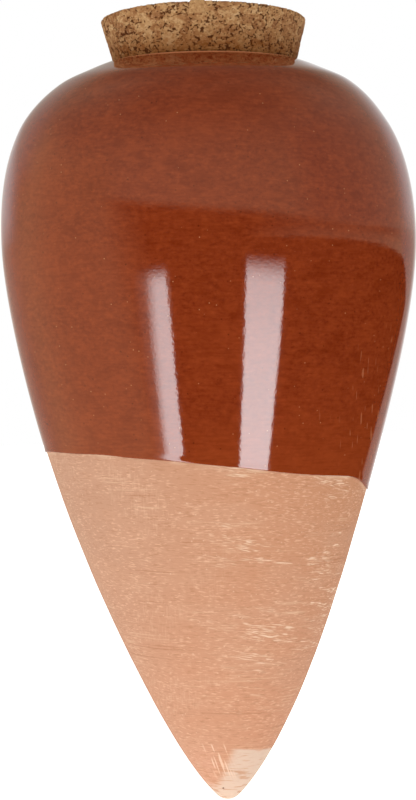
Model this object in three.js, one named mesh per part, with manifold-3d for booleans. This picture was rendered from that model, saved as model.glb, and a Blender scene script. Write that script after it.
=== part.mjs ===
// Irrigation olla: a pointed terracotta water vessel that is pushed into the soil up to its glaze line.
// The bare clay below that line lets water seep out, the glazed part above it holds the water in, and
// a tapered cork closes the mouth.
// Millimetres, +Z up. The origin is on the vessel's axis at the soil line. Heights named below are
// measured up from the vessel's tip.

import * as THREE from 'three';
import { mergeVertices } from 'three/addons/utils/BufferGeometryUtils.js';
import Module from 'manifold-3d';

const wasm = await Module();
wasm.setup();

// Outside of the clay vessel. A fullness is how far a curve keeps its end direction before it turns.
const bellyRadius = 59.65; // at the widest level
const bellyHeight = 162.6; // of the widest level
const soilHeight = 96; // of the soil line, where the glaze ends
const tipRounding = 3.8; // radius of the point
const tipHalfAngle = 45; // degrees between the axis and the wall just above the point
const tipFullness = 33.5;
const flankFullness = 35.7; // below the widest level
const shoulderFullness = 32.7; // above the widest level
const crownFullness = 20.3; // beside the mouth
const crownSlope = 19.2; // degrees that the dome falls away at the mouth

// Inside of the clay vessel
const wall = 6; // at the widest level
const tipWall = 14; // up the axis, from the point to the hollow
const hollowRounding = 5; // radius of the hollow's lower end

// Mouth, a tapered seat with a rounded rim above and a rounded throat below
const mouthRadius = 26.8; // where the seat meets the rim
const rimHeight = 213.3; // where the seat meets the rim
const rimRounding = 0.9;
const seatTaper = 13.6; // degrees between the axis and the seat, and the cork's side
const seatDepth = 5;
const throatRounding = 2;

// Glaze, a thin glass coat that ends where the vessel was dipped at a slant
const glazeThickness = 0.3;
const glazeGap = 0.05; // between the clay and the coat
const dipTilt = 8.6; // degrees from level
const dipTurn = 22.6; // degrees from +X towards +Y to the side where the edge is lowest

// Cork
const corkStandOut = 12.5; // above the rim
const corkDepth = 11; // below the rim
const corkClearance = 0.3; // to the seat, square to the axis
const corkTopRounding = 0.5;
const corkFootRounding = 1;

// Facets
const turnSteps = 48; // round the axis
const sideSteps = 15;
const crownSteps = 10;
const hollowSteps = 10;
const vaultSteps = 7;
const roundSteps = 3;

const rad = THREE.MathUtils.degToRad;
const tipAngle = rad(tipHalfAngle);
const slopeAngle = rad(crownSlope);
const taperAngle = rad(seatTaper);

// Joins the points of curves that run on from each other, without doubling the ends they share.
function pointsAlong(curves) {
  const points = curves.flatMap(({ curve, steps }) => curve.getPoints(steps).slice(1));
  return [curves[0].curve.getPoint(0), ...points];
}

// The same curves moved sideways by a distance, outwards for curves that climb the outside.
function pointsBeside(curves, distance) {
  const stations = curves.flatMap(({ curve, steps }, index) => {
    const first = index === 0 ? 0 : 1;
    return Array.from({ length: steps + 1 - first }, (_, step) => ({ curve, t: (step + first) / steps }));
  });
  return stations.map(({ curve, t }) => {
    const along = curve.getTangent(t);
    const side = new THREE.Vector2(along.y, -along.x);
    return curve.getPoint(t).addScaledVector(side, distance);
  });
}

// Turns a profile of radius and height about the Z axis.
function revolve(profile) {
  return new THREE.LatheGeometry(profile, turnSteps).rotateX(Math.PI / 2);
}

function toSolid(geometry) {
  const bare = geometry.clone();
  bare.deleteAttribute('normal');
  bare.deleteAttribute('uv');
  const merged = mergeVertices(bare);
  return new wasm.Manifold(new wasm.Mesh({
    numProp: 3,
    vertProperties: merged.getAttribute('position').array,
    triVerts: Uint32Array.from(merged.index.array),
  }));
}

function toGeometry(solid) {
  const { vertProperties, triVerts } = solid.getMesh();
  const geometry = new THREE.BufferGeometry();
  geometry.setAttribute('position', new THREE.BufferAttribute(vertProperties, 3));
  geometry.setIndex(new THREE.BufferAttribute(triVerts, 1));
  geometry.computeVertexNormals();
  return geometry;
}

// Rounded point at the bottom and the side that swells up from it to the widest level.
// share is the curve's size against the vessel's outside.
function flank(radius, bottom, rounding, share) {
  const centre = bottom + rounding;
  const foot = new THREE.Vector2(rounding * Math.cos(tipAngle), centre - rounding * Math.sin(tipAngle));
  const climb = new THREE.Vector2(Math.sin(tipAngle), Math.cos(tipAngle));
  return {
    tip: new THREE.EllipseCurve(0, centre, rounding, rounding, -Math.PI / 2, -tipAngle),
    side: new THREE.CubicBezierCurve(
      foot,
      foot.clone().addScaledVector(climb, tipFullness * share),
      new THREE.Vector2(radius, bellyHeight - flankFullness * share),
      new THREE.Vector2(radius, bellyHeight),
    ),
  };
}

// Dome from the widest level in to the mouth, where it ends on the given point.
function crown(radius, end, share) {
  const outward = new THREE.Vector2(Math.cos(slopeAngle), -Math.sin(slopeAngle));
  return new THREE.CubicBezierCurve(
    new THREE.Vector2(radius, bellyHeight),
    new THREE.Vector2(radius, bellyHeight + shoulderFullness * share),
    end.clone().addScaledVector(outward, crownFullness * share),
    end,
  );
}

function reversed(curve) {
  return new THREE.CubicBezierCurve(curve.v3, curve.v2, curve.v1, curve.v0);
}

// The rim's rounding runs from the dome over its top and down into the seat.
const seatTop = new THREE.Vector2(mouthRadius, rimHeight);
const seatFoot = new THREE.Vector2(mouthRadius - seatDepth * Math.tan(taperAngle), rimHeight - seatDepth);
const seatNormal = new THREE.Vector2(Math.cos(taperAngle), -Math.sin(taperAngle));
const rimCentre = seatTop.clone().addScaledVector(seatNormal, rimRounding);
const rimOuter = new THREE.EllipseCurve(
  rimCentre.x, rimCentre.y, rimRounding, rimRounding, Math.PI / 2 - slopeAngle, Math.PI / 2,
);
const rimInner = new THREE.EllipseCurve(
  rimCentre.x, rimCentre.y, rimRounding, rimRounding, Math.PI / 2, Math.PI - taperAngle,
);
const throatCentre = seatFoot.clone().addScaledVector(seatNormal, throatRounding);
const throat = new THREE.EllipseCurve(
  throatCentre.x, throatCentre.y, throatRounding, throatRounding,
  Math.PI - taperAngle, 1.5 * Math.PI - slopeAngle,
);

const outside = flank(bellyRadius, 0, tipRounding, 1);
const dome = crown(bellyRadius, rimOuter.getPoint(0), 1);

// The hollow repeats the outside at its own height.
const hollowRadius = bellyRadius - wall;
const vaultEnd = throat.getPoint(1);
const inside = flank(hollowRadius, tipWall, hollowRounding, (bellyHeight - tipWall) / bellyHeight);
const vault = crown(hollowRadius, vaultEnd, (vaultEnd.y - bellyHeight) / (rimHeight - bellyHeight));

function clayBody() {
  const seat = new THREE.LineCurve(seatTop, seatFoot);
  const upAndOver = [
    { curve: outside.tip, steps: roundSteps },
    { curve: outside.side, steps: sideSteps },
    { curve: dome, steps: crownSteps },
    { curve: rimOuter, steps: 1 },
    { curve: rimInner, steps: roundSteps },
    { curve: seat, steps: 1 },
    { curve: throat, steps: roundSteps },
    { curve: reversed(vault), steps: vaultSteps },
    { curve: reversed(inside.side), steps: hollowSteps },
  ];
  const hollowTip = inside.tip.getPoints(roundSteps).reverse();
  return revolve([...pointsAlong(upAndOver), ...hollowTip.slice(1)]);
}

// The coat follows the clay from the point to the top of the rim, and is cut off below the dip line.
function glazeCoat() {
  const covered = [
    { curve: outside.side, steps: sideSteps },
    { curve: dome, steps: crownSteps },
    { curve: rimOuter, steps: 1 },
  ];
  const outer = pointsBeside(covered, glazeGap + glazeThickness);
  const inner = pointsBeside(covered, glazeGap).reverse();
  const coat = revolve([...outer, ...inner, outer[0]]);
  const reach = 4 * bellyRadius;
  const belowDip = new THREE.BoxGeometry(reach, reach, reach)
    .translate(0, 0, -reach / 2)
    .rotateY(rad(dipTilt))
    .rotateZ(rad(dipTurn))
    .translate(0, 0, soilHeight);
  return toGeometry(toSolid(coat).subtract(toSolid(belowDip)));
}

// Tapered plug with a rounded foot and top edge, drawn with its zero height at the rim.
function corkPlug() {
  const sideRadius = (height) => mouthRadius - corkClearance + height * Math.tan(taperAngle);
  const edge = (height, rounding, start, end) => {
    const centre = sideRadius(height) - rounding / Math.cos(taperAngle);
    return new THREE.EllipseCurve(centre, height, rounding, rounding, start, end).getPoints(roundSteps);
  };
  return revolve([
    new THREE.Vector2(0, -corkDepth),
    ...edge(corkFootRounding - corkDepth, corkFootRounding, -Math.PI / 2, -taperAngle),
    ...edge(corkStandOut - corkTopRounding, corkTopRounding, -taperAngle, Math.PI / 2),
    new THREE.Vector2(0, corkStandOut),
  ]);
}

const bareClay = new THREE.MeshStandardMaterial({ color: '#d69e7c', roughness: 0.9, metalness: 0 });
const brownGlaze = new THREE.MeshStandardMaterial({ color: '#833417', roughness: 0.12, metalness: 0 });
const pressedCork = new THREE.MeshStandardMaterial({ color: '#9a6e46', roughness: 0.85, metalness: 0 });

function piece(name, geometry, material) {
  const mesh = new THREE.Mesh(geometry, material);
  mesh.name = name;
  return mesh;
}

const vessel = new THREE.Group();
vessel.add(piece('olla_body', clayBody(), bareClay));
vessel.add(piece('glaze_coat', glazeCoat(), brownGlaze));

const cork = piece('cork_stopper', corkPlug(), pressedCork);
cork.position.z = rimHeight;

const olla = new THREE.Group();
olla.add(vessel, cork);
olla.position.z = -soilHeight;

export default olla;
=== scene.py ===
from bisect import bisect
from math import atan2, cos, hypot, pi, radians, sin, tan

import bmesh
import bpy
from mathutils import Matrix, Quaternion, Vector, noise
from mathutils.geometry import interpolate_bezier


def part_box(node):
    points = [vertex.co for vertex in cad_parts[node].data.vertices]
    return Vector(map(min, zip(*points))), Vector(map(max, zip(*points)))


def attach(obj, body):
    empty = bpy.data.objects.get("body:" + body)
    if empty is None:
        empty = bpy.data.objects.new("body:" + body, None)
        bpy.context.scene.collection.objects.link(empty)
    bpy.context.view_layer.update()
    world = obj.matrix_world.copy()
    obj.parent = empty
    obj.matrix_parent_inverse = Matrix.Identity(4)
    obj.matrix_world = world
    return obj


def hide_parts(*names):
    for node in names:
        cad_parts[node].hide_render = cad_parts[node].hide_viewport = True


noise.seed_set(4)  # noise_vector starts from the clock without it
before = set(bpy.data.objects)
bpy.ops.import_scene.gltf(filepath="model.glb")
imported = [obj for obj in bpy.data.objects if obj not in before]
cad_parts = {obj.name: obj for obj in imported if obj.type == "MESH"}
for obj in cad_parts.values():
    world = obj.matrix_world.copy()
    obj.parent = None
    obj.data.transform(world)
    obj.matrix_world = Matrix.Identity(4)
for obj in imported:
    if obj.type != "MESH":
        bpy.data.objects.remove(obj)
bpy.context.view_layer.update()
clayLow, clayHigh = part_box("olla_body")
corkLow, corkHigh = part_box("cork_stopper")
mm = 0.001
weldDistance = 2e-7  # metres: points closer than this are one


def linear(hexText):  # sRGB hex to the linear colour that sockets take
    parts = [int(hexText[i:i + 2], 16) / 255 for i in (1, 3, 5)]
    return (*[c / 12.92 if c < 0.04045 else ((c + 0.055) / 1.055) ** 2.4 for c in parts], 1)


def addNode(tree, kind, inputs=None, stops=None, **settings):
    made = tree.nodes.new(kind)
    for name, value in settings.items():
        setattr(made, name, value)
    for key, value in (inputs or {}).items():
        if isinstance(value, bpy.types.NodeSocket):
            tree.links.new(value, made.inputs[key])
        else:
            made.inputs[key].default_value = value
    for i, (position, hexText) in enumerate(stops or []):  # colour stops of a ramp, which starts with two
        stop = made.color_ramp.elements[i] if i < 2 else made.color_ramp.elements.new(position)
        stop.position, stop.color = position, linear(hexText)
    return made


mixFactor, mixA, mixB, mixOut = 0, 6, 7, 2  # sockets of a Mix node set to colour


def paintMarks(tree, place, tone, marks, unit=mm):
    # Lays each mark's tone over the last where all of its masks show. A mask fades in between two values
    # of a distance along a direction, an attribute of the mesh, the distance to the middle of cells, or a
    # noise grain
    for mark in marks:
        amount = mark["most"]
        for mask in mark["masks"]:
            low, high = mask["shows"]
            if "toward" in mask:
                source = addNode(tree, "ShaderNodeVectorMath", {0: place, 1: mask["toward"]},
                                 operation="DOT_PRODUCT")
                value, low, high = source.outputs["Value"], low * unit, high * unit
            elif "attribute" in mask:
                source = addNode(tree, "ShaderNodeAttribute", attribute_name=mask["attribute"])
                value = source.outputs["Fac"]
            elif "cells" in mask:
                source = addNode(tree, "ShaderNodeTexVoronoi",
                                 {"Vector": place, "Scale": 1 / (mask["cells"] * mm)})
                value = source.outputs["Distance"]
            else:
                along, tall, tilt = mask["grain"]
                spread = addNode(tree, "ShaderNodeMapping",
                                 {"Vector": place, "Rotation": (0, radians(tilt), 0),
                                  "Scale": (along * mm, max(along, tall) * mm, tall * mm)},
                                 vector_type="TEXTURE")
                source = addNode(tree, "ShaderNodeTexNoise",
                                 {"Vector": spread.outputs[0], "Scale": 1, "Detail": mask.get("detail", 2)})
                value = source.outputs[0]
            shown = addNode(tree, "ShaderNodeMapRange", {"Value": value, "From Min": low, "From Max": high},
                            interpolation_type="SMOOTHSTEP")
            product = addNode(tree, "ShaderNodeMath", {0: amount, 1: shown.outputs[0]},
                              operation="MULTIPLY")
            amount = product.outputs[0]
        over = [c * mark.get("glow", 1) for c in linear(mark["tone"])]
        layer = addNode(tree, "ShaderNodeMix", {mixFactor: amount, mixA: tone, mixB: over},
                        data_type="RGBA")
        tone = layer.outputs[mixOut]
    return tone


def smooth(value, low, high):
    t = min(max((value - low) / (high - low), 0), 1)
    return t * t * (3 - 2 * t)


def pick(seed, salt):  # one steady number from 0 to 1 for each cell
    return (noise.cell(seed * salt) + 1) / 2


def makePiece(name, bm, material, body, node):
    for face in bm.faces:
        face.smooth = True
    mesh = bpy.data.meshes.new(name)
    bm.to_mesh(mesh)
    bm.free()
    mesh.materials.append(material)
    piece = bpy.data.objects.new(name, mesh)
    bpy.context.scene.collection.objects.link(piece)
    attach(piece, body)
    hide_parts(node)
    print("piece:", name, len(mesh.polygons), "faces")


def spinProfile(points, steps):  # points are (radius, 0, height) in mm
    bm = bmesh.new()
    row = [bm.verts.new(p * mm) for p in points]
    for a, b in zip(row, row[1:]):
        bm.edges.new((a, b))
    # a quarter turn, then three more of it: quicker than one long spin
    bmesh.ops.spin(bm, geom=bm.verts[:] + bm.edges[:], axis=(0, 0, 1), angle=pi / 2, steps=steps // 4)
    quarter = bm.verts[:] + bm.edges[:] + bm.faces[:]
    bmesh.ops.spin(bm, geom=quarter, axis=(0, 0, 1), angle=1.5 * pi, steps=3, use_duplicate=True)
    bmesh.ops.remove_doubles(bm, verts=bm.verts, dist=weldDistance)
    return bm


def at(radius, height):
    return Vector((radius, 0, height))


def arc(centre, radius, start, end, steps):
    angles = [start + (end - start) * i / steps for i in range(steps + 1)]
    return [at(centre.x + radius * cos(a), centre.z + radius * sin(a)) for a in angles]


# The turned outline of the vessel, in mm, zero height at the soil line
vessel = {
    "bellyHeight": 66.6,  # widest level
    "tipRounding": 4.6,
    "tipHalfAngle": 45,  # degrees from the axis to the wall above the point
    "tipFullness": 33.5,  # how far each curve keeps its end direction
    "flankFullness": 35.7,
    "shoulderFullness": 32.7,
    "crownFullness": 20.3,
    "crownSlope": 19.2,  # degrees the dome falls at the mouth
    "mouthRadius": 26.8,
    "rimHeight": 117.3,
    "rimRounding": 0.9,
    "seatTaper": 13.6,  # degrees
    "seatDepth": 5,
    "throatRounding": 2,
    "wall": 6,
    "tipWall": 14,
    "hollowRounding": 5,
    "turnSteps": 224,
    "tipSteps": 8, "sideSteps": 330, "domeSteps": 50,  # rings of both points, the side and the dome
    "fineBelow": 9, "sideStride": 6,  # above the bare clay only every sixth ring of the side is kept
    "rimOuterSteps": 3, "rimInnerSteps": 6, "seatSteps": 6, "throatSteps": 8,
    "hollowSteps": 70, "vaultSteps": 24,
}
bellyRadius = clayHigh.x / mm
tipHeight = clayLow.z / mm
bellyHeight = vessel["bellyHeight"]
tipAngle = radians(vessel["tipHalfAngle"])
slope = radians(vessel["crownSlope"])
taper = radians(vessel["seatTaper"])


def flankCurve(radius, bottom, rounding, share, steps):  # point and side, from the axis up to the belly
    centre = at(0, bottom + rounding)
    tip = arc(centre, rounding, -pi / 2, -tipAngle, vessel["tipSteps"])
    foot = tip[-1]
    climb = at(sin(tipAngle), cos(tipAngle)) * vessel["tipFullness"] * share
    belly = at(radius, bellyHeight)
    drop = at(0, vessel["flankFullness"] * share)
    return tip[:-1] + interpolate_bezier(foot, foot + climb, belly - drop, belly, steps)


def crownCurve(radius, end, share, steps):  # dome from the belly in to the mouth
    belly = at(radius, bellyHeight)
    rise = at(0, vessel["shoulderFullness"] * share)
    outward = at(cos(slope), -sin(slope)) * vessel["crownFullness"] * share
    return interpolate_bezier(belly, belly + rise, end + outward, end, steps)


seatTop = at(vessel["mouthRadius"], vessel["rimHeight"])
seatFoot = seatTop - at(vessel["seatDepth"] * tan(taper), vessel["seatDepth"])
seatNormal = at(cos(taper), -sin(taper))
rimCentre = seatTop + seatNormal * vessel["rimRounding"]
rimOuter = arc(rimCentre, vessel["rimRounding"], pi / 2 - slope, pi / 2, vessel["rimOuterSteps"])
rimInner = arc(rimCentre, vessel["rimRounding"], pi / 2, pi - taper, vessel["rimInnerSteps"])
throatCentre = seatFoot + seatNormal * vessel["throatRounding"]
throat = arc(throatCentre, vessel["throatRounding"], pi - taper, 1.5 * pi - slope, vessel["throatSteps"])
claySide = flankCurve(bellyRadius, tipHeight, vessel["tipRounding"], 1, vessel["sideSteps"])[:-1]
claySide = [p for i, p in enumerate(claySide) if p.z < vessel["fineBelow"] or i % vessel["sideStride"] == 0]
clayDome = crownCurve(bellyRadius, rimOuter[0], 1, vessel["domeSteps"])
outside = claySide + clayDome + rimOuter[1:]
hollowLow = tipHeight + vessel["tipWall"]
hollowShare = (bellyHeight - hollowLow) / (bellyHeight - tipHeight)
vaultShare = (throat[-1].z - bellyHeight) / (vessel["rimHeight"] - bellyHeight)
hollowRadius = bellyRadius - vessel["wall"]
hollow = flankCurve(hollowRadius, hollowLow, vessel["hollowRounding"], hollowShare, vessel["hollowSteps"])
hollow += crownCurve(hollowRadius, throat[-1], vaultShare, vessel["vaultSteps"])[1:]
seat = [seatTop.lerp(seatFoot, i / vessel["seatSteps"]) for i in range(1, vessel["seatSteps"])]

# What the potter's hands left: the axis drifts a little, and the mouth sits over to one side
hand = {"drift": 0.5, "driftPeak": 62, "driftLength": 134,  # mm
        "mouthShift": 1.7, "shiftFrom": 99, "mouthLean": 1.45, "leanFrom": 92, "leanTo": 116,  # mm, degrees
        "mouthDrop": 0.7, "dropFrom": 111, "dropTo": 116}


def byHand(co):
    z = co.z / mm
    lean = smooth(z, hand["leanFrom"], hand["leanTo"])
    drift = hand["drift"] * cos(2 * pi * (z - hand["driftPeak"]) / hand["driftLength"])
    co.z -= co.x * tan(radians(hand["mouthLean"])) * lean
    co.z -= hand["mouthDrop"] * mm * smooth(z, hand["dropFrom"], hand["dropTo"])
    co.x += (drift + hand["mouthShift"] * smooth(z, hand["shiftFrom"], hand["leanTo"])) * mm


# The slanted line where the vessel was dipped, in mm above the soil line at each turn round the axis
dip = {"fallX": 0.1395, "fallY": 0.058,  # fall of the line across the vessel
       "radius": 46.2,  # of the vessel at the soil line
       "raise": 0.25, "wave": 0.25, "nibble": 0.06,
       "waveCount": 3.1, "nibbleCount": 30,  # bumps in a radian, about
       "humpSide": 60, "humpWidth": 32, "humpRise": 1.3,  # a level stretch: degrees from the front, mm
       "runSide": 80, "runWidth": 26, "runDrop": 1.75}  # the run at one side


def dipHeight(turn):  # turn is measured from +X towards +Y
    fall = dip["radius"] * (dip["fallX"] * cos(turn) + dip["fallY"] * sin(turn))
    around = Vector((cos(turn), sin(turn), 0))
    wave = dip["raise"] + dip["wave"] * noise.noise(around * dip["waveCount"])
    wave += dip["nibble"] * noise.noise(around * dip["nibbleCount"])
    fromFront = ((turn + pi / 2 + pi) % (2 * pi) - pi) / radians(1)
    hump = dip["humpRise"] * smooth(1 - abs(fromFront - dip["humpSide"]) / dip["humpWidth"], 0, 1)
    run = dip["runDrop"] * smooth(1 - abs(fromFront - dip["runSide"]) / dip["runWidth"], 0, 1)
    return wave - fall + hump - run


# Marks on the bare clay. A grain is mm long, mm high and degrees of tilt, down to the right from the front
clayMarks = [
    # redder to the right, with painted shade darkening the right side, pinker low down, and clouds
    {"tone": "#c38b69", "most": 1, "masks": [{"toward": (1, 0, 0), "shows": (-40, 20)}]},
    # painted shade: the right side darker and redder, where the key lamp's light falls away
    {"tone": "#bd825b", "most": 0.7, "masks": [{"toward": (1, 0, 0), "shows": (15, 42)}]},
    {"tone": "#ca9171", "most": 0.7, "masks": [{"toward": (0, 0, 1), "shows": (-10, -85)}]},
    {"tone": "#d2a086", "most": 0.55, "masks": [{"toward": (0, 0, 1), "shows": (-70, -86)},
                                               {"toward": (1, 0, 0), "shows": (1, -5)}]},
    {"tone": "#c69577", "most": 0.4, "masks": [{"grain": (26, 9, 3), "shows": (0.42, 0.66)}]},
    # cloth wiping: short dark and pale dashes, and a fine upright hatch to the left
    {"tone": "#a8724e", "most": 0.42, "masks": [{"grain": (2.4, 0.42, 4), "shows": (0.48, 0.3)}]},
    {"tone": "#deb193", "most": 0.68, "masks": [{"grain": (1.7, 0.36, 4), "shows": (0.52, 0.7)},
                                               {"grain": (18, 11, 4), "shows": (0.24, 0.54)}]},
    {"tone": "#d8b093", "most": 0.27, "masks": [{"grain": (0.45, 3, 0), "shows": (0.5, 0.66)},
                                               {"grain": (20, 20, 0), "shows": (0.42, 0.6)},
                                               {"toward": (1, 0, 0), "shows": (12, -12)}]},
    # turning lines
    {"tone": "#9c6039", "most": 0.35,
     "masks": [{"grain": (45, 0.5, 2.5), "detail": 1, "shows": (0.36, 0.29)},
               {"grain": (30, 16, 0), "detail": 1, "shows": (0.42, 0.6)}]},
    {"tone": "#deba9a", "most": 0.45, "masks": [{"grain": (16, 0.4, 3), "detail": 1, "shows": (0.6, 0.72)},
                                                {"grain": (24, 14, 0), "detail": 1, "shows": (0.4, 0.6)}]},
    # pale flicks in slanting rows, most on one side, and single pale grains of sand
    {"tone": "#f2d9bd", "most": 0.75,
     "masks": [{"grain": (3.2, 0.2, 11), "detail": 0, "shows": (0.55, 0.7)},
               {"grain": (18, 1.6, 11), "detail": 1, "shows": (0.5, 0.6)},
               {"grain": (26, 15, 8), "detail": 1, "shows": (0.42, 0.56)},
               {"toward": (1, 0, 0), "shows": (-12, 14)},
               {"toward": (0, 0, 1), "shows": (-78, -42)}]},
    {"tone": "#e8cbb0", "most": 0.35, "masks": [{"cells": 2.9, "shows": (0.11, 0.05)}]},
    # the rubbed patch at one side of the point, the point itself, scratches, painted shade in a pit, and the
    # clay just below the glaze
    {"tone": "#d8c0ac", "most": 0.9, "masks": [{"toward": (0.157, 0, 1), "shows": (-78.5, -79.4)},
                                               {"toward": (1, 0, -0.44), "shows": (35.6, 39.4)},
                                               {"grain": (4, 0.5, 4), "shows": (0.1, 0.5)}]},
    {"tone": "#d8c0ac", "most": 0.9, "masks": [{"toward": (0, 0, 1), "shows": (-89, -93.5)},
                                               {"grain": (2, 0.6, 4), "shows": (0.1, 0.5)}]},
    {"tone": "#c08a66", "most": 0.65, "masks": [{"grain": (4, 0.4, 6), "detail": 0, "shows": (0.6, 0.68)},
                                                {"toward": (0, 0, 1), "shows": (-80, -82)},
                                                {"toward": (1, 0, 0), "shows": (9, 4)}]},
    {"tone": "#ecccb2", "most": 0.7, "masks": [{"grain": (0.5, 9, -18), "detail": 0, "shows": (0.54, 0.66)},
                                               {"toward": (1, 0, 0.33), "shows": (-33, -31.6)},
                                               {"toward": (1, 0, 0.33), "shows": (-25, -27)},
                                               {"toward": (0, 0, 1), "shows": (-77.2, -78.6)},
                                               {"toward": (0, 0, 1), "shows": (-90, -86)},
                                               {"toward": (0, 1, 0), "shows": (0, -2)}]},
    # painted shade: the pit's dent darkened where it lies in shade
    {"tone": "#5f3a26", "most": 0.9, "masks": [{"attribute": "pit", "shows": (0.25, 0.8)}]},
    {"tone": "#dcb899", "most": 0.5, "masks": [{"attribute": "belowGlaze", "shows": (1.4, 0.3)},
                                               {"grain": (9, 9, 0), "shows": (0.4, 0.6)}]},
]


def terracotta():
    # Bare fired earthenware, wiped on the wheel: matt and chalky, with short pale wiping marks that run
    # level, a faint cross-hatch, a few long turning lines and a paler patch at the point
    mat = bpy.data.materials.new("terracotta_bare_wiped")
    mat.use_nodes = True
    tree = mat.node_tree
    shader = tree.nodes["Principled BSDF"]
    place = addNode(tree, "ShaderNodeTexCoord").outputs["Object"]
    tone = paintMarks(tree, place, linear("#bd8f73"), clayMarks)
    tree.links.new(tone, shader.inputs["Base Color"])
    shader.inputs["Roughness"].default_value = 0.88
    # fine level wiping relief, 2 mm long and 0.4 mm high
    spread = addNode(tree, "ShaderNodeMapping", {"Vector": place, "Scale": (2 * mm, 2 * mm, 0.4 * mm)},
                     vector_type="TEXTURE")
    wiping = addNode(tree, "ShaderNodeTexNoise", {"Vector": spread.outputs[0], "Scale": 1, "Detail": 3})
    bump = addNode(tree, "ShaderNodeBump",
                   {"Strength": 0.3, "Distance": 0.1 * mm, "Height": wiping.outputs[0]})
    tree.links.new(bump.outputs[0], shader.inputs["Normal"])
    return mat


glazeMarks = [
    # mottle: a fine grain in larger patches
    {"tone": "#611e09", "most": 0.42, "masks": [{"grain": (1.6, 0.9, 2), "shows": (0.5, 0.3)}]},
    {"tone": "#94401d", "most": 0.45, "masks": [{"grain": (1.6, 0.9, 2), "shows": (0.5, 0.75)}]},
    {"tone": "#561906", "most": 0.2,
     "masks": [{"grain": (0.7, 0.6, 0), "detail": 0, "shows": (0.45, 0.25)}]},
    {"tone": "#6a2208", "most": 0.45, "masks": [{"grain": (6, 3.2, 2), "shows": (0.5, 0.3)}]},
    {"tone": "#8f3c1a", "most": 0.4, "masks": [{"grain": (5, 3, 2), "shows": (0.5, 0.7)}]},
    {"tone": "#8f3c1b", "most": 0.25, "masks": [{"grain": (30, 22, 0), "shows": (0.4, 0.7)}]},
    # thinner low down, with level streaks
    {"tone": "#8c3b18", "most": 0.6, "masks": [{"toward": (0, 0, 1), "shows": (22, -2)}]},
    {"tone": "#692007", "most": 0.3, "masks": [{"grain": (6, 0.7, 2), "shows": (0.45, 0.7)}]},
    # pale specks in places, and pores in other places
    {"tone": "#c08458", "most": 0.7, "masks": [{"cells": 2.8, "shows": (0.085, 0.03)},
                                               {"grain": (9, 9, 0), "detail": 0, "shows": (0.42, 0.55)}]},
    {"tone": "#3f1304", "most": 0.5, "masks": [{"cells": 2.7, "shows": (0.13, 0.06)},
                                               {"grain": (7, 7, 0), "detail": 0, "shows": (0.55, 0.42)}]},
    # short upright hairlines, a few low on one side
    {"tone": "#b06a44", "most": 0.5, "masks": [{"grain": (0.6, 4.5, 3), "detail": 0, "shows": (0.72, 0.78)},
                                               {"grain": (16, 20, 0), "detail": 0, "shows": (0.48, 0.58)},
                                               {"toward": (1, 0, 0), "shows": (24, 32)},
                                               {"toward": (0, 0, 1), "shows": (42, 34)},
                                               {"toward": (0, 1, 0), "shows": (-6, -20)}]},
    # thin at the rim
    {"tone": "#d88c62", "most": 1, "masks": [{"attribute": "glazeThin", "shows": (0, 1)}]},
]


def brownGlaze():
    # Fired iron glaze: a clear glossy skin over red-brown, softly mottled and speckled, with level streaks,
    # paler where it runs thin over the rim, and not quite even, so that mirrored edges are a little ragged
    mat = bpy.data.materials.new("glaze_iron_brown")
    mat.use_nodes = True
    tree = mat.node_tree
    shader = tree.nodes["Principled BSDF"]
    place = addNode(tree, "ShaderNodeTexCoord").outputs["Object"]
    tree.links.new(paintMarks(tree, place, linear("#7d3014"), glazeMarks), shader.inputs["Base Color"])
    shader.inputs["Roughness"].default_value = 0.06
    shader.inputs["IOR"].default_value = 1.52
    normal = None
    for size, height in ((0.8, 0.008), (11, 0.015)):  # mm: orange-peel ripple and slow waves
        ripple = addNode(tree, "ShaderNodeTexNoise",
                         {"Vector": place, "Scale": 1 / (size * mm), "Detail": 1})
        bump = addNode(tree, "ShaderNodeBump",
                       {"Strength": 1, "Distance": height * mm, "Height": ripple.outputs[0]})
        if normal:
            tree.links.new(normal, bump.inputs["Normal"])
        normal = bump.outputs[0]
    tree.links.new(normal, shader.inputs["Normal"])
    return mat


# the two ends of the ramp, then what lies between them: red-brown bark, and granules from dark to pale
corkTones = [(0, "#8c4f28"), (1, "#d5b285"), (0.07, "#945a2f"), (0.1, "#7b4d28"), (0.3, "#956640"),
             (0.5, "#a97b4f"), (0.7, "#b88e5f"), (0.85, "#c49c6e")]
corkMarks = [
    # cells of the cork, drawn over ten times as coarse as they are so that they show
    {"tone": "#7d4c25", "most": 0.45, "masks": [{"grain": (0.55, 0.45, 0), "shows": (0.45, 0.7)}]},
    {"tone": "#d4ab7c", "most": 0.5, "masks": [{"grain": (0.8, 0.45, 20), "shows": (0.55, 0.7)}]},
    # painted shade towards the seat, where the dome below shades the cork, and dark in the gaps
    {"tone": "#7a4000", "most": 0.62, "masks": [{"toward": (0, 0, 1), "shows": (127, 117)}]},
    {"tone": "#481d00", "most": 0.92, "masks": [{"attribute": "granuleGap", "shows": (0.1, 0.7)}]},
]


def pressedCork():
    # Pressed cork granules: matt and warm brown, each granule its own tone, with dark bark flecks and gaps
    # and a few pale crumbs
    mat = bpy.data.materials.new("cork_pressed_granules")
    mat.use_nodes = True
    tree = mat.node_tree
    shader = tree.nodes["Principled BSDF"]
    place = addNode(tree, "ShaderNodeTexCoord").outputs["Object"]
    toneOf = addNode(tree, "ShaderNodeAttribute", attribute_name="granuleTone").outputs["Fac"]
    tone = addNode(tree, "ShaderNodeValToRGB", {"Fac": toneOf}, stops=corkTones).outputs[0]
    tree.links.new(paintMarks(tree, place, tone, corkMarks), shader.inputs["Base Color"])
    shader.inputs["Roughness"].default_value = 0.85
    shader.inputs["Specular IOR Level"].default_value = 0.15  # open cells hardly shine
    fine = addNode(tree, "ShaderNodeTexNoise", {"Vector": place, "Scale": 1 / (0.5 * mm), "Detail": 2})
    bump = addNode(tree, "ShaderNodeBump",
                   {"Strength": 0.3, "Distance": 0.2 * mm, "Height": fine.outputs[0]})
    tree.links.new(bump.outputs[0], shader.inputs["Normal"])
    return mat


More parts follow.
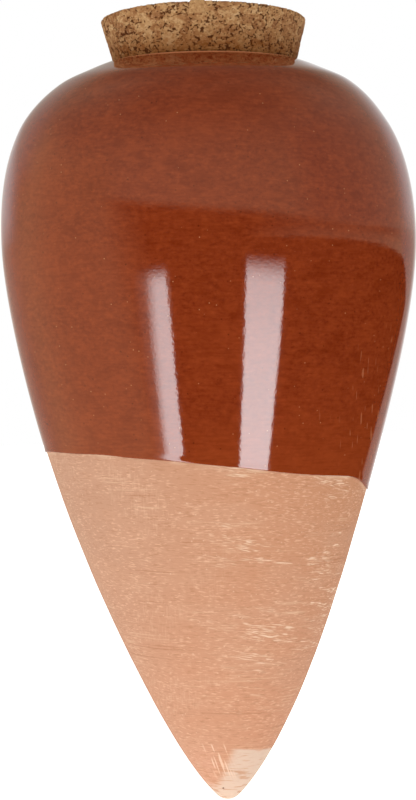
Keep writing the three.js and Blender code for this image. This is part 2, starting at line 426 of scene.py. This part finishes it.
# Relief of the bare clay and the hollow, in mm
clay = {"bareBelow": 60, "farBelow": 9,  # outside relief up to this height; what belowGlaze says elsewhere
        "swell": 0.06, "swellLength": 9, "swellAcross": 90,
        "wiping": 0.012, "wipingHeight": 1.2, "wipingLength": 16,
        "ringDepth": 0.16, "ringHeight": 7.5,  # finger rings of the throwing, inside
        "ringFoot": (4, 14), "ringTop": (96, 108),  # radii and heights between which they fade
        "pitSide": -1.5, "pitHeight": -92.1, "pitRadius": 0.55, "pitDepth": 0.35}


def makeClay():
    profile = outside + rimInner[1:] + seat + throat + hollow[-2::-1]
    bm = spinProfile(profile, vessel["turnSteps"])
    bmesh.ops.recalc_face_normals(bm, faces=bm.faces)
    bm.normal_update()
    pitLayer = bm.verts.layers.float.new("pit")
    belowLayer = bm.verts.layers.float.new("belowGlaze")
    for v in bm.verts:
        p = v.co / mm
        turn = atan2(p.y, p.x)
        v[belowLayer] = clay["farBelow"]
        if v.normal.dot(v.co) < 0:  # the hollow
            ring = clay["ringDepth"] * sin(2 * pi * p.z / clay["ringHeight"] - turn)
            depth = ring * smooth(hypot(p.x, p.y), *clay["ringFoot"])
            v.co += v.normal * depth * (1 - smooth(p.z, *clay["ringTop"])) * mm
        elif p.z < clay["bareBelow"]:
            v[belowLayer] = dipHeight(turn) - p.z
            across = clay["swellAcross"]
            slow = Vector((p.x / across, p.y / across, p.z / clay["swellLength"]))
            swell = clay["swell"] * noise.noise(slow)
            stretched = Vector((p.x, p.y, p.z * clay["wipingLength"] / clay["wipingHeight"]))
            wipe = clay["wiping"] * noise.noise(stretched / clay["wipingLength"])
            if p.y < 0:
                fromPit = hypot(p.x - clay["pitSide"], p.z - clay["pitHeight"])
                v[pitLayer] = 1 - smooth(fromPit, 0, clay["pitRadius"])
            v.co += v.normal * (swell + wipe - v[pitLayer] * clay["pitDepth"]) * mm
    for v in bm.verts:
        byHand(v.co)
    makePiece("olla_clay", bm, terracotta(), "vessel", "olla_body")


glaze = {"thickness": 0.5, "standOff": 0.35,  # mm; the back of the coat lies just inside the clay
         "bead": 0.12, "beadFull": 0.4, "beadWidth": 1.6,  # thicker along the dip line
         "lip": 0.17, "lipAngle": 1.2, "lipBelow": 30,  # its round lip: mm, radians at the edge, mm
         "thinFrom": 1.2, "thinTo": 2.6, "thinAbove": 100}  # thin beside the mouth


def makeGlaze():
    rows = [p for p in outside if p.z > 0]
    rows.insert(0, at(0, 0))  # the soil line itself
    heights = [p.z for p in outside]
    radii = [p.x for p in outside]

    def radiusAt(z):
        i = min(max(bisect(heights, z), 1), len(heights) - 1)
        share = (z - heights[i - 1]) / (heights[i] - heights[i - 1])
        return radii[i - 1] + (radii[i] - radii[i - 1]) * share

    rows[0].x = radiusAt(0)
    bm = spinProfile(rows, vessel["turnSteps"])
    for v in bm.verts:
        z = v.co.z / mm
        turn = atan2(v.co.y, v.co.x)
        if z < bellyHeight:
            z += dipHeight(turn) * (1 - z / bellyHeight)
            radius = radiusAt(z)
            v.co = Vector((radius * cos(turn), radius * sin(turn), z)) * mm
    bmesh.ops.recalc_face_normals(bm, faces=bm.faces)
    bm.normal_update()
    thinLayer = bm.verts.layers.float.new("glazeThin")
    for v in bm.verts:
        fromEdge = v.co.z / mm - dipHeight(atan2(v.co.y, v.co.x))
        bead = glaze["bead"] * (1 - smooth(fromEdge, glaze["beadFull"], glaze["beadWidth"]))
        v.co += v.normal * (glaze["standOff"] + bead) * mm
        mouthway = hypot(v.co.x, v.co.y) / mm - rimOuter[-1].x
        if v.co.z / mm > glaze["thinAbove"]:
            v[thinLayer] = 1 - smooth(mouthway, glaze["thinFrom"], glaze["thinTo"])
    bmesh.ops.solidify(bm, geom=bm.faces[:], thickness=glaze["thickness"] * mm)
    bm.normal_update()
    lip = []
    for edge in bm.edges:
        if edge.calc_face_angle(0) > glaze["lipAngle"] and edge.verts[0].co.z < glaze["lipBelow"] * mm:
            under = min(edge.link_faces, key=lambda face: face.normal.z)
            if edge.verts[0].co.xy.length > under.calc_center_median().xy.length:
                lip.append(edge)
    bmesh.ops.bevel(bm, geom=lip, offset=glaze["lip"] * mm, segments=3, profile=0.5, affect="EDGES",
                    material=-1)
    for v in bm.verts:
        byHand(v.co)
    makePiece("olla_glaze", bm, brownGlaze(), "vessel", "glaze_coat")


cork = {
    "topRounding": 0.2, "footRounding": 1, "clearance": 0.45, "taper": 15,  # mm, degrees
    "tilt": 3.1,  # degrees: pushed in by hand, it stands higher at the front
    "turnSteps": 600, "edgeSteps": 3,
    "sideRing": 0.25, "hiddenRing": 0.6, "topRing": 0.6, "footRing": 1.5,  # mm between rings
    "fineFrom": 1,  # mm below the rim, where the side's finer rings start
    "granule": 3.4, "crumb": 1.3, "flatter": 1.35,  # mm across; they are pressed flatter
    "bend": 0.45, "bendLength": 1.3,  # mm: their edges aren't straight
    "granuleSalt": 37.1, "crumbSalt": 23.7,  # change these for other tones in the same granules
    "granuleTones": 0.42, "crumbTones": 0.45,  # share of the ramp that their tones spread over
    "relief": 0.07, "gapDepth": 0.3,  # mm
    # gaps show where the cork is loose, in patches, and more so just above the rim
    "loose": 0.5, "looseLength": 4.5, "looseShift": (3, 1, 7), "lowLoose": 0.12, "lowReach": 8,
    "granuleLength": 1.4, "crumbLength": 0.8,  # mm of edge that opens or stays shut
    # widths in mm over which a gap closes, and the looseness over which it shows
    "seam": (0, 0.15), "seamShows": (0.02, 0.2),
    "crack": (0, 0.15), "crackShows": (0.08, 0.26),
    "void": (0.2, 0.45), "voidShows": (-0.1, 0.1),
    "pore": (0.05, 0.27), "poreShows": (-0.14, 0.06),
    # crumbs broken out of the top edge
    "chip": 0.3, "chipReach": (0.2, 0.8), "chipDark": 0.7,
    "chipLength": 1.1, "chipShift": (5, 2, 1), "chipShows": (0.2, 0.45),
    # one granule that stands out at the top of the front, in mm
    "proudSide": -1.6, "proudHalf": 2.2, "proudDepth": 3.2, "proudLift": 0.45, "proudFront": -20,
    "proudRagged": 0.5, "proudFlat": 0.75, "proudTone": 0.62, "proudTones": 0.1, "proudGaps": 0.2,
}


def makeCork():
    topHeight = corkHigh.z / mm
    footHeight = corkLow.z / mm
    rimHeight = vessel["rimHeight"]
    corkTaper = radians(cork["taper"])

    def sideAt(z):
        return at(vessel["mouthRadius"] - cork["clearance"] + (z - rimHeight) * tan(corkTaper), z)

    def edge(z, rounding, start, end):
        return arc(sideAt(z) - at(rounding / cos(corkTaper), 0), rounding, start, end, cork["edgeSteps"])

    def between(a, b, spacing):
        count = max(int((b - a).length / spacing), 1)
        return [a.lerp(b, i / count) for i in range(1, count)]

    def opening(apart, closes, looseness, shows):  # 1 in the middle of a gap
        return (1 - smooth(apart, *closes)) * smooth(looseness, *shows)

    foot = edge(footHeight + cork["footRounding"], cork["footRounding"], -pi / 2, -corkTaper)
    top = edge(topHeight - cork["topRounding"], cork["topRounding"], -corkTaper, pi / 2)
    footMiddle, topMiddle = at(0, footHeight), at(0, topHeight)
    waist = sideAt(rimHeight - cork["fineFrom"])
    profile = [footMiddle, *between(footMiddle, foot[0], cork["footRing"]), *foot,
               *between(foot[-1], waist, cork["hiddenRing"]), waist,
               *between(waist, top[0], cork["sideRing"]), *top,
               *between(top[-1], topMiddle, cork["topRing"]), topMiddle]
    bm = spinProfile(profile, cork["turnSteps"])
    bmesh.ops.recalc_face_normals(bm, faces=bm.faces)
    bm.normal_update()
    toneLayer = bm.verts.layers.float.new("granuleTone")
    gapLayer = bm.verts.layers.float.new("granuleGap")
    looseShift, chipShift = Vector(cork["looseShift"]), Vector(cork["chipShift"])
    proudHalf = cork["proudHalf"]
    topRadius = top[0].x
    for v in bm.verts:
        p = v.co / mm
        bent = p + noise.noise_vector(p / cork["bendLength"]) * cork["bend"]
        bent.z *= cork["flatter"]
        spread, seeds = noise.voronoi(bent / cork["granule"])
        crumbSpread, crumbSeeds = noise.voronoi(bent / cork["crumb"])
        tone = pick(seeds[0], cork["granuleSalt"])
        crumbTone = pick(crumbSeeds[0], cork["crumbSalt"])
        # gaps open along parts of the edge between two granules or crumbs, and where three meet
        toSecond, toThird = [(spread[i] - spread[0]) * cork["granule"] for i in (1, 2)]
        crumbSecond, crumbThird = [(crumbSpread[i] - crumbSpread[0]) * cork["crumb"] for i in (1, 2)]
        low = 1 - smooth(p.z, rimHeight, rimHeight + cork["lowReach"])
        loose = noise.noise(p / cork["looseLength"] + looseShift) * cork["loose"] + low * cork["lowLoose"]
        here = noise.noise(p / cork["granuleLength"]) + loose
        there = noise.noise(p / cork["crumbLength"] + seeds[0]) + loose
        seam = opening(toSecond, cork["seam"], here, cork["seamShows"])
        crack = opening(crumbSecond, cork["crack"], there, cork["crackShows"])
        void = opening(toThird, cork["void"], here, cork["voidShows"])
        pore = opening(crumbThird, cork["pore"], there, cork["poreShows"])
        dark = max(seam, crack, void, pore)
        lift = (tone - 0.5) * 2 * cork["relief"] + (crumbTone - 0.5) * cork["relief"]
        lift -= dark * cork["gapDepth"]
        shown = 0.5 + (tone - 0.5) * cork["granuleTones"] + (crumbTone - 0.5) * cork["crumbTones"]
        aside = abs(p.x - cork["proudSide"] + noise.noise(p) * cork["proudRagged"])
        if p.y < cork["proudFront"] and aside < proudHalf and topHeight - p.z < cork["proudDepth"]:
            shown = cork["proudTone"] + cork["proudTones"] * crumbTone
            lift += cork["proudLift"] * (1 - smooth(aside, proudHalf * cork["proudFlat"], proudHalf))
            dark *= cork["proudGaps"]
        else:
            fromEdge = hypot(topHeight - p.z, topRadius - hypot(p.x, p.y))
            broken = noise.noise(p / cork["chipLength"] + chipShift)
            chipped = opening(fromEdge, cork["chipReach"], broken, cork["chipShows"])
            lift -= chipped * cork["chip"]
            dark = max(dark, chipped * cork["chipDark"])
        v.co += v.normal * lift * mm
        v[toneLayer] = shown
        v[gapLayer] = dark
    turnOver = Quaternion((1, 0, 0), radians(-cork["tilt"])).to_matrix()
    bmesh.ops.rotate(bm, verts=bm.verts, cent=(0, 0, rimHeight * mm), matrix=turnOver)
    bmesh.ops.translate(bm, verts=bm.verts, vec=(0, 0, hand["mouthDrop"] * mm))  # it keeps its own height
    for v in bm.verts:
        byHand(v.co)
    makePiece("olla_cork", bm, pressedCork(), "cork", "cork_stopper")


makeClay()
makeGlaze()
makeCork()

# The stage: a plain pale floor just under the tip, which the gloss doesn't mirror, as under a light table
floorSize = {"radius": 4.0, "sides": 96, "gap": 0.0002, "glow": 0.75, "tone": "#f4f3f1"}  # lengths in metres


def makeFloor():
    mat = bpy.data.materials.new("floor_pale_matt")
    mat.use_nodes = True
    shader = mat.node_tree.nodes["Principled BSDF"]
    shader.inputs["Base Color"].default_value = linear(floorSize["tone"])
    shader.inputs["Roughness"].default_value = 0.9
    shader.inputs["Emission Color"].default_value = (1, 1, 1, 1)
    shader.inputs["Emission Strength"].default_value = floorSize["glow"]
    bm = bmesh.new()
    bmesh.ops.create_circle(bm, cap_ends=True, segments=floorSize["sides"], radius=floorSize["radius"])
    bmesh.ops.translate(bm, verts=bm.verts, vec=(0, 0, clayLow.z - floorSize["gap"]))
    mesh = bpy.data.meshes.new("floor")
    bm.to_mesh(mesh)
    bm.free()
    mesh.materials.append(mat)
    floor = bpy.data.objects.new("floor", mesh)
    bpy.context.scene.collection.objects.link(floor)
    floor.visible_glossy = False
    floor.visible_shadow = False


makeFloor()

# A grey card across the room just behind the widest outline, for the gloss of the back half only. It keeps
# the softboxes in front out of the outline seen from behind, and from its front side it is clear
backCard = {"place": 0.006, "half": 1.5, "top": 0.14, "glow": 0.3, "tone": "#ffecca"}


def makeBackCard():
    mat = bpy.data.materials.new("card_grey")
    mat.use_nodes = True
    tree = mat.node_tree
    tree.nodes.clear()
    facing = addNode(tree, "ShaderNodeNewGeometry").outputs["Backfacing"]
    shine = addNode(tree, "ShaderNodeEmission",
                    {"Color": linear(backCard["tone"]), "Strength": backCard["glow"]})
    clear = addNode(tree, "ShaderNodeBsdfTransparent")
    sides = addNode(tree, "ShaderNodeMixShader", {0: facing, 1: shine.outputs[0], 2: clear.outputs[0]})
    addNode(tree, "ShaderNodeOutputMaterial", {"Surface": sides.outputs[0]})
    bm = bmesh.new()
    bmesh.ops.create_grid(bm, x_segments=1, y_segments=1, size=backCard["half"],
                          matrix=Matrix.Rotation(-pi / 2, 4, "X"))
    bmesh.ops.translate(bm, verts=bm.verts, vec=(0, backCard["place"], backCard["top"] - backCard["half"]))
    mesh = bpy.data.meshes.new("back_card")
    bm.to_mesh(mesh)
    bm.free()
    mesh.materials.append(mat)
    card = bpy.data.objects.new("back_card", mesh)
    bpy.context.scene.collection.objects.link(card)
    card.visible_camera = False
    card.visible_diffuse = False
    card.visible_shadow = False


makeBackCard()

# A broad soft lamp for the matt surfaces, from the front and to the left
keyLamp = {"spot": (-0.85, -1.35, 0.35), "size": 1.1, "glow": 1.3}


def makeKeyLamp():
    light = bpy.data.lights.new("key_soft", "AREA")
    light.size = keyLamp["size"]
    light.energy = keyLamp["glow"] * pi * keyLamp["size"] ** 2
    lamp = bpy.data.objects.new("key_soft", light)
    bpy.context.scene.collection.objects.link(lamp)
    lamp.location = keyLamp["spot"]
    lamp.rotation_mode = "QUATERNION"
    lamp.rotation_quaternion = (-lamp.location).to_track_quat("-Z", "Y")
    lamp.visible_camera = False
    lamp.visible_glossy = False


makeKeyLamp()

# The room round the object: white to the camera, an even fill for matt surfaces, and these panels for the
# gloss to mirror. A panel's place is in degrees: turn from the camera's side, rise above level, and how far
# behind the object
fill = 0.6
turnAway, riseUp, behind = (1, 0, 0), (0, 1, 0), (0, 0, 1)
ledge = [{"toward": riseUp, "shows": (-1.5, -1.1)}, {"toward": turnAway, "shows": (15, 60)}]
ceiling = [{"toward": (0.052, 1, 0), "shows": (7.2, 10.5)}]  # starts lower to the right
leftWall = [{"toward": (1, 0.25, 0), "shows": (-38, -62)}, {"toward": turnAway, "shows": (-165, -105)},
            {"toward": riseUp, "shows": (40, 15)}]
leftFringe = [{"toward": (1, 0.25, 0), "shows": (-30, -43)}, {"toward": riseUp, "shows": (12, 7)}]
leftHalo = [{"toward": turnAway, "shows": (-44.5, -36.5)}, {"toward": turnAway, "shows": (-22.5, -23)},
            {"toward": riseUp, "shows": (-9, -12)}, {"toward": riseUp, "shows": (-60, -57)}]
leftBox = [{"toward": turnAway, "shows": (-38, -29.5)}, {"toward": (1, 0.1125, 0), "shows": (-25.6, -26.1)},
           {"toward": riseUp, "shows": (-9.1, -13.6)}, {"toward": riseUp, "shows": (-60, -57)}]
rightBox = [{"toward": turnAway, "shows": (19.45, 19.95)}, {"toward": turnAway, "shows": (41.8, 41.3)},
            {"toward": (0.03, 1, 0), "shows": (-6.2, -13.5)}, {"toward": riseUp, "shows": (-60, -57)}]
lower = [{"toward": riseUp, "shows": (-8, -32)}]
upperBack = [{"toward": behind, "shows": (35, 58)}, {"toward": riseUp, "shows": (1.5, 6)},
             {"toward": riseUp, "shows": (34, 12)}]
backdrop = [{"toward": behind, "shows": (64, 84)}, {"toward": riseUp, "shows": (30, 12)}]
roomPanels = [
    {"tone": "#ffecca", "glow": 0.29, "most": 1, "masks": ledge},
    {"tone": "#ffecca", "glow": 0.6, "most": 1, "masks": ledge + [{"toward": riseUp, "shows": (4, -1.3)}]},
    {"tone": "#ffecca", "glow": 0.87, "most": 1, "masks": ceiling},
    {"tone": "#ffecca", "glow": 0.17, "most": 1, "masks": [{"toward": riseUp, "shows": (1, 2.4)},
                                                           {"toward": riseUp, "shows": (4.8, 3.4)},
                                                           {"toward": turnAway, "shows": (92, 112)},
                                                           {"toward": turnAway, "shows": (136, 128)}]},
    {"tone": "#ffecca", "glow": 0.33, "most": 1, "masks": [{"toward": riseUp, "shows": (16, 72)}]},
    {"tone": "#fff4dc", "glow": 0.5, "most": 1, "masks": ceiling + [{"toward": turnAway, "shows": (42, 68)},
                                                                    {"toward": riseUp, "shows": (60, 35)}]},
    {"tone": "#fff0d0", "glow": 0.55, "most": 1, "masks": [{"toward": turnAway, "shows": (-50, -95)},
                                                           {"toward": riseUp, "shows": (18, 34)},
                                                           {"toward": riseUp, "shows": (80, 50)}]},
    {"tone": "#ffecca", "glow": 0.25, "most": 1, "masks": [{"toward": turnAway, "shows": (118, 148)},
                                                           {"toward": riseUp, "shows": (28, 46)}]},
    {"tone": "#ffecca", "glow": 0.27, "most": 1, "masks": [{"toward": turnAway, "shows": (-128, -155)},
                                                           {"toward": riseUp, "shows": (30, 54)}]},
    {"tone": "#ffe1b7", "glow": 0.26, "most": 1, "masks": leftFringe},
    {"tone": "#ffe1b7", "glow": 0.95, "most": 1, "masks": leftWall},
    {"tone": "#ffe1b7", "glow": 1.07, "most": 1,
     "masks": leftWall + [{"toward": riseUp, "shows": (-5, -32)}]},
    {"tone": "#ffeedc", "glow": 0.46, "most": 1, "masks": [{"toward": turnAway, "shows": (-115, -150)},
                                                           {"toward": riseUp, "shows": (34, 12)}]},
    {"tone": "#fff8ee", "glow": 0.42, "most": 1, "masks": [{"toward": (1, -1, 0), "shows": (151.8, 154.2)},
                                                          {"toward": riseUp, "shows": (10, 2)}]},
    {"tone": "#fff8ee", "glow": 0.44, "most": 1, "masks": [{"toward": (1, 6.9, 0), "shows": (124, 128)},
                                                          {"toward": turnAway, "shows": (128, 136)},
                                                          {"toward": riseUp, "shows": (4, 1.5)}]},
    {"tone": "#ffffff", "glow": 0.76, "most": 1, "masks": upperBack},
    {"tone": "#fff6ec", "glow": 0.76, "most": 1, "masks": backdrop},
    {"tone": "#ffffff", "glow": 1, "most": 1,
     "masks": backdrop + [{"toward": turnAway, "shows": (90, 150)}]},
    {"tone": "#fff8ec", "glow": 0.54, "most": 1, "masks": [{"toward": turnAway, "shows": (-110, -140)},
                                                           {"toward": riseUp, "shows": (9, 16)},
                                                           {"toward": riseUp, "shows": (44, 24)}]},
    # two tall softboxes, low in front, brighter towards their lower ends
    {"tone": "#ffecdc", "glow": 1.25, "most": 1, "masks": leftHalo},
    {"tone": "#fbfcff", "glow": 8.4, "most": 1, "masks": leftBox},
    {"tone": "#fbfcff", "glow": 9.3, "most": 1, "masks": leftBox + lower},
    {"tone": "#fbfcff", "glow": 8.2, "most": 1, "masks": rightBox},
    {"tone": "#fbfcff", "glow": 11.1, "most": 1, "masks": rightBox + lower},
]


def makeRoom():
    world = bpy.data.worlds.new("room")
    bpy.context.scene.world = world
    world.use_nodes = True
    tree = world.node_tree
    direction = addNode(tree, "ShaderNodeTexCoord").outputs["Generated"]
    split = addNode(tree, "ShaderNodeSeparateXYZ", {0: direction}).outputs
    front = addNode(tree, "ShaderNodeMath", {0: split["Y"], 1: -1}, operation="MULTIPLY").outputs[0]
    turn = addNode(tree, "ShaderNodeMath", {0: split["X"], 1: front}, operation="ARCTAN2").outputs[0]
    rise = addNode(tree, "ShaderNodeMath", {0: split["Z"]}, operation="ARCSINE").outputs[0]
    back = addNode(tree, "ShaderNodeMath", {0: split["Y"]}, operation="ARCSINE").outputs[0]
    place = addNode(tree, "ShaderNodeCombineXYZ", {0: turn, 1: rise, 2: back}).outputs[0]
    mirrored = paintMarks(tree, place, (0, 0, 0, 1), roomPanels, radians(1))
    path = addNode(tree, "ShaderNodeLightPath").outputs
    lit = addNode(tree, "ShaderNodeMix",
                  {mixFactor: path["Is Glossy Ray"], mixA: (fill, fill, fill, 1), mixB: mirrored},
                  data_type="RGBA")
    seen = addNode(tree, "ShaderNodeMix",
                   {mixFactor: path["Is Camera Ray"], mixA: lit.outputs[mixOut], mixB: (1, 1, 1, 1)},
                   data_type="RGBA")
    tree.links.new(seen.outputs[mixOut], tree.nodes["Background"].inputs["Color"])


makeRoom()

# The camera: level with the middle of the vessel, rolled as the object leans in the picture
shot = {"distance": 0.697, "height": 0.0271, "aimHeight": 0.0201, "aside": -0.00145,  # metres
        "nearest": 0.01,
        "roll": -2.1, "lens": 108, "sensor": 36}  # degrees, mm


def makeCamera():
    camera = bpy.data.cameras.new("camera")
    camera.lens = shot["lens"]
    camera.sensor_width = shot["sensor"]
    camera.clip_start = shot["nearest"]
    spot = bpy.data.objects.new("camera", camera)
    bpy.context.scene.collection.objects.link(spot)
    spot.location = (shot["aside"], -shot["distance"], shot["height"])
    aim = Vector((shot["aside"], 0, shot["aimHeight"])) - spot.location
    spot.rotation_mode = "QUATERNION"
    spot.rotation_quaternion = aim.to_track_quat("-Z", "Y") @ Quaternion((0, 0, 1), radians(shot["roll"]))
    bpy.context.scene.camera = spot


makeCamera()
bpy.context.scene.view_settings.view_transform = "Standard"
print("stage: floor, softboxes, room and camera")
